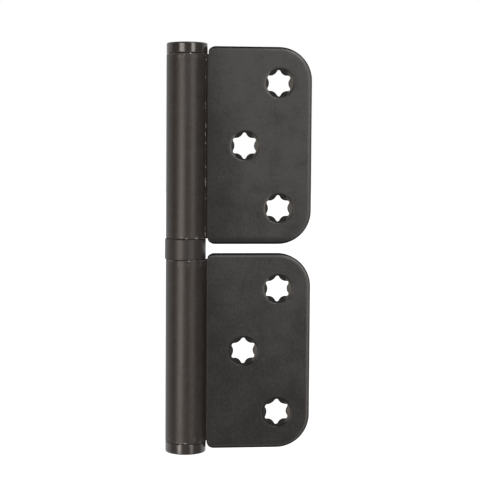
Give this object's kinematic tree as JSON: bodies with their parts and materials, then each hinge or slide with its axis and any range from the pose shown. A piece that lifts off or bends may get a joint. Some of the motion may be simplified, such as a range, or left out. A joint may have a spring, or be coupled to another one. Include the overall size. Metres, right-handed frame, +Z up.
{
  "type": "flag hinge",
  "caption": "Black lift-off flag hinge: rolled knuckles on a fixed pin, a loose bearing ring between them, end caps, and round-cornered leaves with star-shaped countersunk screw holes.",
  "frame": {"origin": "on the pin's axis, midway between the outer faces of the two caps", "axes": "+Z up along the pin from the lower leaf to the upper one, +X from the pin towards the outer edges of both leaves, +Y towards the backs of the leaves"},
  "size_m": [0.0466, 0.013, 0.13],
  "materials": {
    "leaf_black": "satin",
    "cap_black": "semi-gloss",
    "ring_black": "satin",
    "pin_steel": "ground"
  },
  "bodies": {
    "frame_half": {"lower_leaf": "leaf_black", "hinge_pin": "pin_steel", "bottom_cap": "cap_black"},
    "ring": {"bearing_ring": "ring_black"},
    "door_half": {"upper_leaf": "leaf_black", "top_cap": "cap_black"}
  },
  "joints": [
    {"name": "swing", "type": "hinge", "parent": "frame_half", "child": "ring", "pos_m": [0, 0, 0], "axis": [0, 0, 1], "continuous": true},
    {"name": "lift", "type": "slide", "parent": "ring", "child": "door_half", "axis": [0, 0, 1], "range_m": [0, 0.055]}
  ]
}
